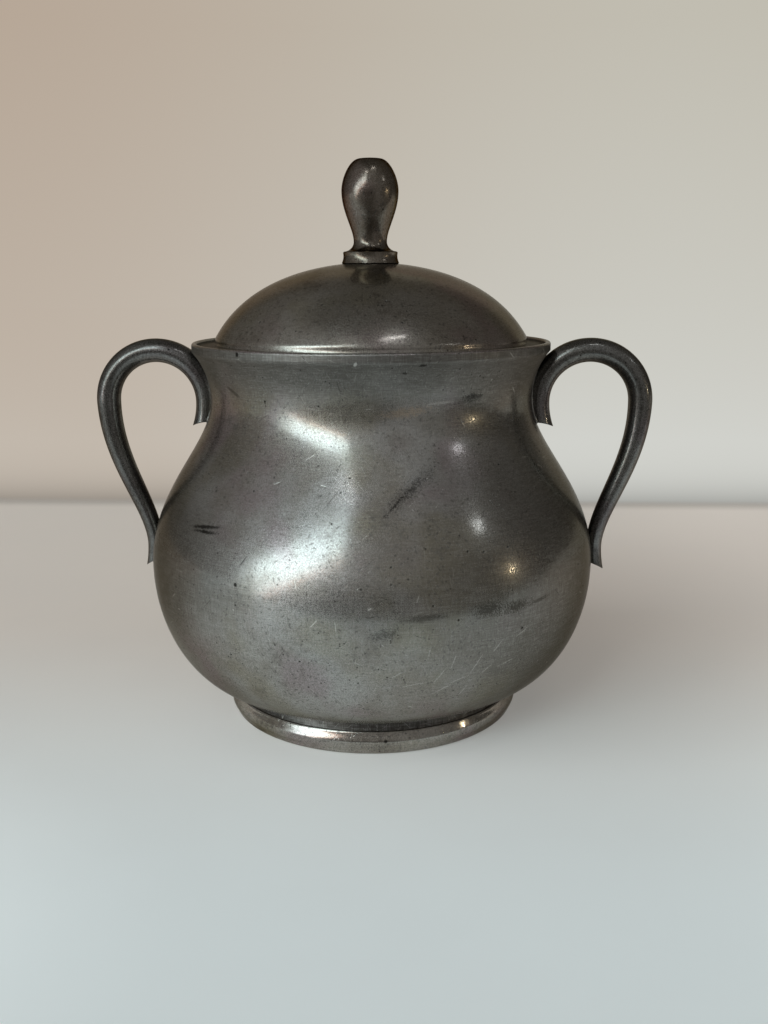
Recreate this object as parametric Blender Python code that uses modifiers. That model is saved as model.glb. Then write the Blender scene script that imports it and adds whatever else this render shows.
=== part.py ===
"""A pewter sugar bowl: a spun bowl on a soldered foot ring, two cast scroll handles, and a domed
lid that lifts off by a turned knob. Metres, +Z up, standing on Z = 0 with the handles along X."""

import math

import bmesh
import bpy
import numpy as np
from mathutils import Matrix

# Gap kept at every joint between two pieces, where the real ones have solder or play.
CLEARANCE = 0.0003

# Foot ring: a swelled band that stands on the table, and an upright collar above it.
FOOT_RADIUS = 0.0328
FOOT_WIDTH = 0.0036
FOOT_SWELL = 0.0007
FOOT_STEP = 0.0005
FOOT_COLLAR_HEIGHT = 0.0027
FOOT_EDGE = 0.0010

# Bowl: radii are to the outer face, and each height is measured from the one before it.
FLOOR_HEIGHT = 0.0079
FLOOR_RADIUS = 0.0320
BELLY_HEIGHT = 0.0276
BELLY_RADIUS = 0.0500
SHOULDER_FULLNESS = 0.0169
NECK_FULLNESS = 0.0106
NECK_HEIGHT = 0.0366
THROAT_RADIUS = 0.0358
FLARE_HEIGHT = 0.0104
FLARE_WIDTH = 0.0038
RIM_HEIGHT = 0.0018
RIM_EDGE = 0.0005
BOWL_WALL = 0.0015

# Handles: a round loop, a long limb and a tail that flicks away from the belly.
LOOP_RADIUS = 0.0114
LOOP_DROP = 0.0013
CURL_STANDOFF = 0.0015
CURL_CURVE = 0.0186
CURL_SWEEP = math.radians(21)
LIMB_UPPER_FULLNESS = 0.0149
LIMB_LOWER_FULLNESS = 0.0091
TAIL_RISE = 0.0021
TAIL_STANDOFF = 0.0011
TAIL_CURVE = 0.0275
TAIL_SWEEP = math.radians(12.6)
LOOP_THICKNESS = 0.0053
TAIL_THICKNESS = 0.0034
HANDLE_BREADTH = 1.15
SCOOP_RADIUS = 0.0055
SCOOP_LEAN = math.radians(32)

# Lid: heights are above the underside of its brim.
LID_RECESS = 0.0020
LID_WALL = 0.0013
BRIM_THICKNESS = 0.0012
BRIM_WIDTH = 0.0028
DOME_EDGE_HEIGHT = 0.0024
DOME_EDGE_ROUND = 0.0004
DOME_HEIGHT = 0.01895
DOME_CROWN_FULLNESS = 0.0108
DOME_FOOT_FULLNESS = 0.0144
DOME_FOOT_SLOPE = math.radians(31)
BEZEL_DEPTH = 0.0070
BEZEL_WALL = 0.0012
BEZEL_PLAY = 0.0006
BEZEL_LEAD = 0.0005

# Knob: each height is measured from the one before it, starting at the top of the dome.
KNOB_FLANGE_RADIUS = 0.0060
KNOB_FLANGE_HEIGHT = 0.0020
KNOB_FLANGE_HOLLOW = 0.0002
KNOB_FLANGE_SPREAD = 0.0003
KNOB_COVE_HEIGHT = 0.0021
KNOB_NECK_RADIUS = 0.00364
KNOB_STEM_HEIGHT = 0.0106
KNOB_STEM_UPPER_FULLNESS = 0.0044
KNOB_STEM_LOWER_FULLNESS = 0.0027
KNOB_BULB_RADIUS = 0.0062
KNOB_CROWN_HEIGHT = 0.0067
KNOB_CROWN_FULLNESS = 0.0027
KNOB_SHOULDER_FULLNESS = 0.0020
KNOB_TOP_RADIUS = 0.0024
KNOB_TOP_DOME = 0.00015

# Screw and washer that draw the knob down from inside the lid.
SCREW_RADIUS = 0.0015
SCREW_GRIP = 0.0090
SCREW_HEAD_RADIUS = 0.0029
SCREW_HEAD_HEIGHT = 0.0018
SCREW_HEAD_EDGE = 0.0006
SCREW_TIP_EDGE = 0.0007
DRILL_POINT = 0.0009
SCREW_SLOT_WIDTH = 0.0008
SCREW_SLOT_DEPTH = 0.0009
WASHER_RADIUS = 0.0046
WASHER_THICKNESS = 0.0008

# Facets round a turned piece, points along each stretch of an outline, and how the facets join up.
TURNS = 48
SMALL_TURNS = 28
FLARE_POINTS = 5
NECK_POINTS = 11
BELLY_POINTS = 9
LIP_POINTS = 3
DOME_POINTS = 12
KNOB_POINTS = 7
COVE_POINTS = 4
SEAT_POINTS = 5
BAND_POINTS = 6
CURL_POINTS = 5
LOOP_POINTS = 20
LIMB_POINTS = 14
TAIL_POINTS = 6
HANDLE_SIDES = 4
SMOOTHED_ANGLE = math.radians(40)
WELD = 0.00001

# Heights and radii that several pieces share.
belly_z = FLOOR_HEIGHT + BELLY_HEIGHT
throat_z = belly_z + NECK_HEIGHT
rim_z = throat_z + FLARE_HEIGHT + RIM_HEIGHT
seat_z = rim_z - LID_RECESS
screw_hole = SCREW_RADIUS + CLEARANCE

for old in list(bpy.data.objects):
    bpy.data.objects.remove(old)
parts = bpy.data.collections.new("pewter_sugar_bowl")
cutters = bpy.data.collections.new("cutters")
bpy.context.scene.collection.children.link(parts)
bpy.context.scene.collection.children.link(cutters)


def bezier(start, start_pull, end_pull, end, count):
    """Points along a cubic curve, both ends included."""
    points = []
    for t in np.linspace(0, 1, count):
        weights = ((1 - t) ** 3, 3 * t * (1 - t) ** 2, 3 * t * t * (1 - t), t**3)
        corners = (start, start_pull, end_pull, end)
        points.append(tuple(sum(w * c[i] for w, c in zip(weights, corners)) for i in (0, 1)))
    return points


def arc(centre, radius, start, end, count):
    """Points along a circular arc, both ends included."""
    return [
        (centre[0] + radius * math.cos(a), centre[1] + radius * math.sin(a))
        for a in np.linspace(start, end, count)
    ]


def offset(line, distance):
    """The line moved sideways, out of the metal where it runs down an outer face."""
    moved = []
    for i, (r, z) in enumerate(line):
        before = line[max(i - 1, 0)]
        after = line[min(i + 1, len(line) - 1)]
        run, rise = after[0] - before[0], after[1] - before[1]
        length = math.hypot(run, rise)
        moved.append((r - rise / length * distance, z + run / length * distance))
    return moved


def height_at(line, radius):
    """Height of a line at a radius. The line runs one way from axis to edge."""
    ordered = sorted(line)
    return float(np.interp(radius, [p[0] for p in ordered], [p[1] for p in ordered]))


def metal(name, colour, roughness):
    """Pewter with the tone of one piece."""
    material = bpy.data.materials.new(name)
    material.use_nodes = True
    shader = material.node_tree.nodes["Principled BSDF"]
    shader.inputs["Base Color"].default_value = (*colour, 1)
    shader.inputs["Roughness"].default_value = roughness
    shader.inputs["Metallic"].default_value = 1.0
    return material


def add(name, mesh, collection, material=None, parent=None, height=0.0):
    """An object on the vertical axis, shaded smooth apart from its real edges."""
    thing = bpy.data.objects.new(name, mesh)
    collection.objects.link(thing)
    thing.parent = parent
    thing.location.z = height
    if material:
        mesh.materials.append(material)
    mesh.shade_smooth()
    mesh.set_sharp_from_angle(angle=SMOOTHED_ANGLE)
    if collection is cutters:
        thing.hide_render = True
        thing.display_type = "WIRE"
    return thing


def turned(name, profile, collection, material=None, parent=None, height=0.0, steps=TURNS, ring=False):
    """A piece turned about Z. The profile runs down the outer face; a ring's profile closes on itself."""
    last = len(profile) - 1
    edges = [(i, i + 1) for i in range(last)]
    if ring:
        edges.append((last, 0))
    mesh = bpy.data.meshes.new(name)
    mesh.from_pydata([(r, 0.0, z) for r, z in profile], edges, [])
    thing = add(name, mesh, collection, material, parent, height)
    screw = thing.modifiers.new("turn", "SCREW")
    screw.axis = "Z"
    screw.steps = steps
    screw.render_steps = steps
    screw.use_merge_vertices = True
    screw.merge_threshold = WELD
    screw.use_smooth_shade = True
    return thing


def frame_point(name, height, parent=None):
    """An empty on the vertical axis that carries the pieces of one body."""
    empty = bpy.data.objects.new(name, None)
    parts.objects.link(empty)
    empty.parent = parent
    empty.location.z = height
    return empty


def cut(thing, name, cutter):
    """Takes the cutter's shape out of a piece."""
    boolean = thing.modifiers.new(name, "BOOLEAN")
    boolean.operation = "DIFFERENCE"
    boolean.object = cutter


def bowl_outline():
    """Outer face of the bowl from the underside of the rim down to the middle of the floor."""
    flare_curve = (FLARE_HEIGHT**2 + FLARE_WIDTH**2) / (2 * FLARE_WIDTH)
    lean = math.atan2(FLARE_HEIGHT, flare_curve - FLARE_WIDTH)
    flare_centre = (THROAT_RADIUS + flare_curve, throat_z)
    flare = arc(flare_centre, flare_curve, math.pi - lean, math.pi, FLARE_POINTS)
    neck = bezier(
        (THROAT_RADIUS, throat_z),
        (THROAT_RADIUS, throat_z - NECK_FULLNESS),
        (BELLY_RADIUS, belly_z + SHOULDER_FULLNESS),
        (BELLY_RADIUS, belly_z),
        NECK_POINTS,
    )
    belly = [
        (
            FLOOR_RADIUS + (BELLY_RADIUS - FLOOR_RADIUS) * math.cos(a),
            belly_z - BELLY_HEIGHT * math.sin(a),
        )
        for a in np.linspace(0, math.pi / 2, BELLY_POINTS)
    ]
    return flare + neck[1:] + belly[1:] + [(0.0, FLOOR_HEIGHT)]


def make_bowl(body):
    """Spun from one sheet: an even wall, a flat floor, and an upright rim with its edges rounded over."""
    outer = bowl_outline()
    inner = offset(outer, -BOWL_WALL)
    edge_z = rim_z - RIM_EDGE
    rim = [
        *arc((inner[0][0] + RIM_EDGE, edge_z), RIM_EDGE, math.pi, math.pi / 2, LIP_POINTS),
        *arc((outer[0][0] - RIM_EDGE, edge_z), RIM_EDGE, math.pi / 2, 0, LIP_POINTS),
    ]
    finish = metal("bowl_pewter", (0.25, 0.24, 0.225), 0.34)
    turned("bowl_body", inner[::-1] + rim + outer, parts, finish, body)


def make_foot(body):
    """A cast ring turned to a swelled band and a collar, soldered under the bowl, which its top follows."""
    under_belly = offset(bowl_outline(), CLEARANCE)
    under_belly = [p for p in under_belly if p[1] < belly_z]
    collar_radius = FOOT_RADIUS - FOOT_STEP
    inner_radius = FOOT_RADIUS - FOOT_WIDTH
    band_top = FLOOR_HEIGHT - FOOT_COLLAR_HEIGHT
    seat = [(r, height_at(under_belly, r)) for r in np.linspace(inner_radius, collar_radius, SEAT_POINTS)]
    band = [
        (FOOT_RADIUS + FOOT_SWELL * math.sin(math.pi * s), band_top + s * (FOOT_EDGE - band_top))
        for s in np.linspace(0, 1, BAND_POINTS)
    ]
    profile = [
        *seat,
        (collar_radius, band_top),
        *band,
        (FOOT_RADIUS - FOOT_EDGE, 0.0),
        (inner_radius + FOOT_EDGE, 0.0),
        (inner_radius, FOOT_EDGE),
    ]
    finish = metal("foot_pewter", (0.36, 0.35, 0.33), 0.26)
    turned("foot_ring", profile, parts, finish, body, ring=True)


def handle_route():
    """Centre line of a handle as (out from the axis, height, half thickness), from the curl by the
    neck over the loop and down the limb to the tail, with the headings of its two ends."""
    loop_centre = (THROAT_RADIUS + CURL_STANDOFF + LOOP_RADIUS, throat_z - LOOP_DROP)
    curl_angle = math.pi + CURL_SWEEP
    curl_centre = (loop_centre[0] - LOOP_RADIUS + CURL_CURVE, loop_centre[1])
    curl = arc(curl_centre, CURL_CURVE, curl_angle, math.pi, CURL_POINTS)
    loop = arc(loop_centre, LOOP_RADIUS, math.pi, 0.0, LOOP_POINTS)
    tail_top = (BELLY_RADIUS + TAIL_STANDOFF, belly_z + TAIL_RISE)
    limb = bezier(
        loop[-1],
        (loop[-1][0], loop[-1][1] - LIMB_UPPER_FULLNESS),
        (tail_top[0], tail_top[1] + LIMB_LOWER_FULLNESS),
        tail_top,
        LIMB_POINTS,
    )
    tail_centre = (tail_top[0] + TAIL_CURVE, tail_top[1])
    tail = arc(tail_centre, TAIL_CURVE, math.pi, math.pi + TAIL_SWEEP, TAIL_POINTS)
    taper = np.linspace(LOOP_THICKNESS / 2, TAIL_THICKNESS / 2, LIMB_POINTS)
    route = [(*p, LOOP_THICKNESS / 2) for p in curl[:-1] + loop]
    route += [(*p, half) for p, half in zip(limb[1:], taper[1:])]
    route += [(*p, TAIL_THICKNESS / 2) for p in tail[1:]]
    return route, curl_angle + math.pi / 2, TAIL_SWEEP - math.pi / 2


def scoop(name, end, heading):
    """Cutter that hollows the end of a handle to a claw whose point is on the side away from the bowl."""
    out, height, half = end
    side = heading + math.pi / 2
    point = (out + half * math.cos(side), height + half * math.sin(side))
    towards = side + math.pi + SCOOP_LEAN
    mesh = bpy.data.meshes.new(name)
    shape = bmesh.new()
    bmesh.ops.create_cone(
        shape,
        cap_ends=True,
        segments=SMALL_TURNS,
        radius1=SCOOP_RADIUS,
        radius2=SCOOP_RADIUS,
        depth=2 * LOOP_THICKNESS * HANDLE_BREADTH,
        matrix=Matrix.Rotation(math.pi / 2, 4, "X"),
    )
    shape.to_mesh(mesh)
    shape.free()
    cutter = add(name, mesh, cutters)
    cutter.location.x = point[0] + SCOOP_RADIUS * math.cos(towards)
    cutter.location.z = point[1] + SCOOP_RADIUS * math.sin(towards)
    return cutter


def make_handles(body):
    """One casting used twice: an oval bar bent to a scroll, filed to sit on the neck and the belly."""
    route, curl_heading, tail_heading = handle_route()
    bar = bpy.data.curves.new("handle_bar", "CURVE")
    bar.dimensions = "3D"
    bar.bevel_depth = 1.0
    bar.bevel_resolution = HANDLE_SIDES
    bar.use_fill_caps = True
    spline = bar.splines.new("POLY")
    spline.points.add(len(route) - 1)
    for point, (out, height, half) in zip(spline.points, route):
        point.co = (out, 0.0, height, 1.0)
        point.radius = half
    guide = bpy.data.objects.new("handle_bar", bar)
    cutters.objects.link(guide)

    def evaluated_mesh(thing):
        bpy.context.view_layer.update()
        graph = bpy.context.evaluated_depsgraph_get()
        return bpy.data.meshes.new_from_object(thing.evaluated_get(graph))

    mesh = evaluated_mesh(guide)
    bpy.data.objects.remove(guide)
    shape = bmesh.new()
    shape.from_mesh(mesh)
    bmesh.ops.remove_doubles(shape, verts=shape.verts, dist=WELD)
    bmesh.ops.scale(shape, verts=shape.verts, vec=(1.0, HANDLE_BREADTH, 1.0))
    bmesh.ops.recalc_face_normals(shape, faces=shape.faces)
    shape.to_mesh(mesh)
    shape.free()
    finish = metal("handle_pewter", (0.12, 0.115, 0.115), 0.30)
    rough = add("handle_rough", mesh, cutters)

    seat_line = offset(bowl_outline(), CLEARANCE)
    seat = turned("handle_seat", [(0.0, seat_line[0][1]), *seat_line], cutters)
    cut(rough, "seat", seat)
    cut(rough, "curl", scoop("curl_scoop", route[0], curl_heading))
    cut(rough, "tail", scoop("tail_scoop", route[-1], tail_heading))
    filed = evaluated_mesh(rough)
    add("handle_right", filed, parts, finish, body)
    left = add("handle_left", filed.copy(), parts, None, body)
    left.rotation_euler.z = math.pi


def dome_outline():
    """Outer face of the dome from the screw hole down to its edge, above the brim's underside."""
    lip_line = offset(bowl_outline(), -(BOWL_WALL + CLEARANCE))[:FLARE_POINTS]
    upright = sorted((z, r) for r, z in lip_line)
    levels, reaches = zip(*upright)
    brim_low = float(np.interp(seat_z, levels, reaches))
    brim_high = float(np.interp(seat_z + BRIM_THICKNESS, levels, reaches))
    radius = brim_low - BRIM_WIDTH
    foot = (radius - DOME_EDGE_ROUND, BRIM_THICKNESS + DOME_EDGE_HEIGHT)
    crown = bezier(
        (0.0, DOME_HEIGHT),
        (DOME_CROWN_FULLNESS, DOME_HEIGHT),
        (
            foot[0] - DOME_FOOT_FULLNESS * math.sin(DOME_FOOT_SLOPE),
            foot[1] + DOME_FOOT_FULLNESS * math.cos(DOME_FOOT_SLOPE),
        ),
        foot,
        DOME_POINTS,
    )
    return crown, radius, brim_low, brim_high


def make_lid(body):
    """Spun dome with an upright edge and a flat brim that beds in the flare of the bowl's rim."""
    crown, radius, brim_low, brim_high = dome_outline()
    outer = [(screw_hole, height_at(crown, screw_hole))] + [p for p in crown if p[0] > screw_hole]
    lining = offset(crown, -LID_WALL)
    inner = [(screw_hole, height_at(lining, screw_hole))] + [p for p in lining if p[0] > screw_hole]
    profile = [
        *outer,
        (radius, outer[-1][1] - DOME_EDGE_ROUND),
        (radius, BRIM_THICKNESS),
        (brim_high, BRIM_THICKNESS),
        (brim_low, 0.0),
        (inner[-1][0], 0.0),
        *inner[::-1],
    ]
    finish = metal("lid_pewter", (0.19, 0.175, 0.16), 0.33)
    turned("lid_dome", profile, parts, finish, body, ring=True)

    reach = THROAT_RADIUS - BOWL_WALL - BEZEL_PLAY
    bezel = [
        (reach, -CLEARANCE),
        (reach, BEZEL_LEAD - BEZEL_DEPTH),
        (reach - BEZEL_LEAD, -BEZEL_DEPTH),
        (reach - BEZEL_WALL, -BEZEL_DEPTH),
        (reach - BEZEL_WALL, -CLEARANCE),
    ]
    finish = metal("bezel_pewter", (0.30, 0.29, 0.27), 0.36)
    turned("lid_bezel", bezel, parts, finish, body, ring=True)


def make_knob(body):
    """A cast finial turned in the lathe, drilled from below for the screw, hollowed to fit the dome."""
    crown = dome_outline()[0]
    flange_z = KNOB_FLANGE_HEIGHT
    neck_z = flange_z + KNOB_COVE_HEIGHT
    bulb_z = neck_z + KNOB_STEM_HEIGHT
    shoulder_z = bulb_z + KNOB_CROWN_HEIGHT
    top = bezier(
        (KNOB_TOP_RADIUS, shoulder_z),
        (KNOB_TOP_RADIUS + KNOB_SHOULDER_FULLNESS, shoulder_z - KNOB_TOP_DOME),
        (KNOB_BULB_RADIUS, bulb_z + KNOB_CROWN_FULLNESS),
        (KNOB_BULB_RADIUS, bulb_z),
        KNOB_POINTS,
    )
    stem = bezier(
        (KNOB_BULB_RADIUS, bulb_z),
        (KNOB_BULB_RADIUS, bulb_z - KNOB_STEM_UPPER_FULLNESS),
        (KNOB_NECK_RADIUS, neck_z + KNOB_STEM_LOWER_FULLNESS),
        (KNOB_NECK_RADIUS, neck_z),
        KNOB_POINTS,
    )
    cove = [
        (
            KNOB_FLANGE_RADIUS - (KNOB_FLANGE_RADIUS - KNOB_NECK_RADIUS) * math.cos(a),
            neck_z - KNOB_COVE_HEIGHT * math.sin(a),
        )
        for a in np.linspace(0, math.pi / 2, COVE_POINTS)
    ]
    seat_radius = KNOB_FLANGE_RADIUS + KNOB_FLANGE_SPREAD
    seat = [
        (r, height_at(crown, r) - DOME_HEIGHT)
        for r in np.linspace(seat_radius, screw_hole, SEAT_POINTS)
    ]
    profile = [
        (0.0, shoulder_z + KNOB_TOP_DOME),
        *top,
        *stem[1:],
        *cove[1:],
        (KNOB_FLANGE_RADIUS - KNOB_FLANGE_HOLLOW, (flange_z + seat[0][1]) / 2),
        *seat,
        (screw_hole, SCREW_GRIP),
        (0.0, SCREW_GRIP + DRILL_POINT),
    ]
    finish = metal("knob_pewter", (0.11, 0.10, 0.095), 0.22)
    base = DOME_HEIGHT + CLEARANCE
    turned("knob", profile, parts, finish, body, base, SMALL_TURNS)
    return base


def make_fixing(body, knob_base):
    """Slotted screw up through the dome into the knob, and the washer under its head."""
    lining = offset(dome_outline()[0], -LID_WALL)
    washer_top = height_at(lining, WASHER_RADIUS) - CLEARANCE
    washer_low = washer_top - WASHER_THICKNESS
    washer = [
        (WASHER_RADIUS, washer_top),
        (WASHER_RADIUS, washer_low),
        (screw_hole, washer_low),
        (screw_hole, washer_top),
    ]
    finish = metal("washer_steel", (0.42, 0.41, 0.39), 0.38)
    turned("screw_washer", washer, parts, finish, body, 0.0, SMALL_TURNS, ring=True)

    head_top = washer_low - CLEARANCE
    head_low = head_top - SCREW_HEAD_HEIGHT
    tip = knob_base + SCREW_GRIP - CLEARANCE
    screw = [
        (0.0, tip),
        (SCREW_RADIUS - SCREW_TIP_EDGE, tip),
        (SCREW_RADIUS, tip - SCREW_TIP_EDGE),
        (SCREW_RADIUS, head_top),
        (SCREW_HEAD_RADIUS, head_top),
        (SCREW_HEAD_RADIUS, head_low + SCREW_HEAD_EDGE),
        (SCREW_HEAD_RADIUS - SCREW_HEAD_EDGE, head_low),
        (0.0, head_low),
    ]
    finish = metal("screw_steel", (0.40, 0.39, 0.37), 0.36)
    knob_screw = turned("knob_screw", screw, parts, finish, body, 0.0, SMALL_TURNS)
    mesh = bpy.data.meshes.new("screw_slot")
    shape = bmesh.new()
    size = (2 * (SCREW_HEAD_RADIUS + CLEARANCE), SCREW_SLOT_WIDTH, 2 * SCREW_SLOT_DEPTH)
    bmesh.ops.create_cube(shape, size=1.0, matrix=Matrix.Diagonal((*size, 1.0)))
    shape.to_mesh(mesh)
    shape.free()
    cut(knob_screw, "slot", add("screw_slot", mesh, cutters, None, body, head_low))


bowl = frame_point("bowl", 0.0)
make_bowl(bowl)
make_foot(bowl)
make_handles(bowl)

lid = frame_point("lid", seat_z, bowl)
make_lid(lid)
make_fixing(lid, make_knob(lid))
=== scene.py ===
import math

import bmesh
import bpy
import numpy as np
from mathutils import Matrix, Vector


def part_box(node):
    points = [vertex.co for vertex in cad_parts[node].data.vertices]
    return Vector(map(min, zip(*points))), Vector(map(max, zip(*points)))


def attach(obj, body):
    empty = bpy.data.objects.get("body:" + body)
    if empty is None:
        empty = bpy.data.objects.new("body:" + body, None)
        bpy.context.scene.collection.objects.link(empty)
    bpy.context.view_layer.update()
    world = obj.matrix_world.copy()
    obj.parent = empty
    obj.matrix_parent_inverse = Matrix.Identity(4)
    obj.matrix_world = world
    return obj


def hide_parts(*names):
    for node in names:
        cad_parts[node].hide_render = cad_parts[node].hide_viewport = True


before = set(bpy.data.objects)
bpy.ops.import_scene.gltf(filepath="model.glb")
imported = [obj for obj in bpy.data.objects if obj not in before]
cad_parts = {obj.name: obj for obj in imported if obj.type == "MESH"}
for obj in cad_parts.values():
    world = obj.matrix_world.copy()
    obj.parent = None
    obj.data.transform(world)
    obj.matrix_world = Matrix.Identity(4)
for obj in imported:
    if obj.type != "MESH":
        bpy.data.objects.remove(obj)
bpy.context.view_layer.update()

# Bowl body: one sheet of pewter spun over a former to a round belly, a drawn-in neck and a flared mouth
# with its edge rounded over. Long use has left it dark, with fine lathe lines, scratches and tarnish.
# Painted shade darkens its sides under the handles, the right of its neck and the flare under the rim. A
# painted glint and a painted warm reflection sit on the neck.
belly_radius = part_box("bowl_body")[1].y
floor_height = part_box("bowl_body")[0].z
floor_radius = 0.0320
belly_height = 0.0355
shoulder_fullness = 0.0169
neck_fullness = 0.0106
throat_height = 0.0721
throat_radius = 0.0358
flare_height = 0.0104
flare_width = 0.0038
rim_edge = 0.0005
bowl_wall = 0.0015
bowl_waver = 0.00006


def bezier(start, start_pull, end_pull, end, count):
    """Points along a cubic curve, both ends included."""
    share = np.linspace(0, 1, count)[:, None]
    corners = [np.array(corner) for corner in (start, start_pull, end_pull, end)]
    weights = ((1 - share) ** 3, 3 * share * (1 - share) ** 2, 3 * share**2 * (1 - share), share**3)
    return [tuple(point) for point in sum(w * c for w, c in zip(weights, corners))]


def arc(centre, radius, start, end, count):
    """Points along a circular arc, both ends included."""
    return [
        (centre[0] + radius * math.cos(a), centre[1] + radius * math.sin(a))
        for a in np.linspace(start, end, count)
    ]


def offset(line, distance):
    """The line moved sideways, out of the metal where it runs down an outer face."""
    moved = []
    for i, (r, z) in enumerate(line):
        before = line[max(i - 1, 0)]
        after = line[min(i + 1, len(line) - 1)]
        run, rise = after[0] - before[0], after[1] - before[1]
        length = math.hypot(run, rise)
        moved.append((r - rise / length * distance, z + run / length * distance))
    return moved


def show(name, shape, crease=50):
    """A new object from a shape, shaded smooth apart from edges sharper than the crease angle."""
    mesh = bpy.data.meshes.new(name)
    bmesh.ops.recalc_face_normals(shape, faces=shape.faces)
    shape.to_mesh(mesh)
    shape.free()
    mesh.shade_smooth()
    mesh.set_sharp_from_angle(angle=math.radians(crease))
    thing = bpy.data.objects.new(name, mesh)
    bpy.context.scene.collection.objects.link(thing)
    return thing


def turned(name, outline, ring=False, turns=256, waver=0.0):
    """A piece turned about Z from (radius, height) points. Hand finishing leaves it a little out of round."""
    shape = bmesh.new()
    rows = []
    for radius, height in outline:
        row = []
        for turn in np.linspace(0, 2 * math.pi, turns if radius else 1, endpoint=False):
            swell = math.sin(3 * turn + 95 * height) + math.sin(5 * turn - 160 * height + 2)
            reach = radius + (waver * swell / 2 if radius else 0.0)
            row.append(shape.verts.new((reach * math.cos(turn), reach * math.sin(turn), height)))
        rows.append(row)
    for row, following in zip(rows, rows[1:] + rows[:1] if ring else rows[1:]):
        for i in range(turns):
            corners = [row[i % len(row)], row[(i + 1) % len(row)]]
            corners += [following[(i + 1) % len(following)], following[i % len(following)]]
            shape.faces.new(list(dict.fromkeys(corners)))
    return show(name, shape)


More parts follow.
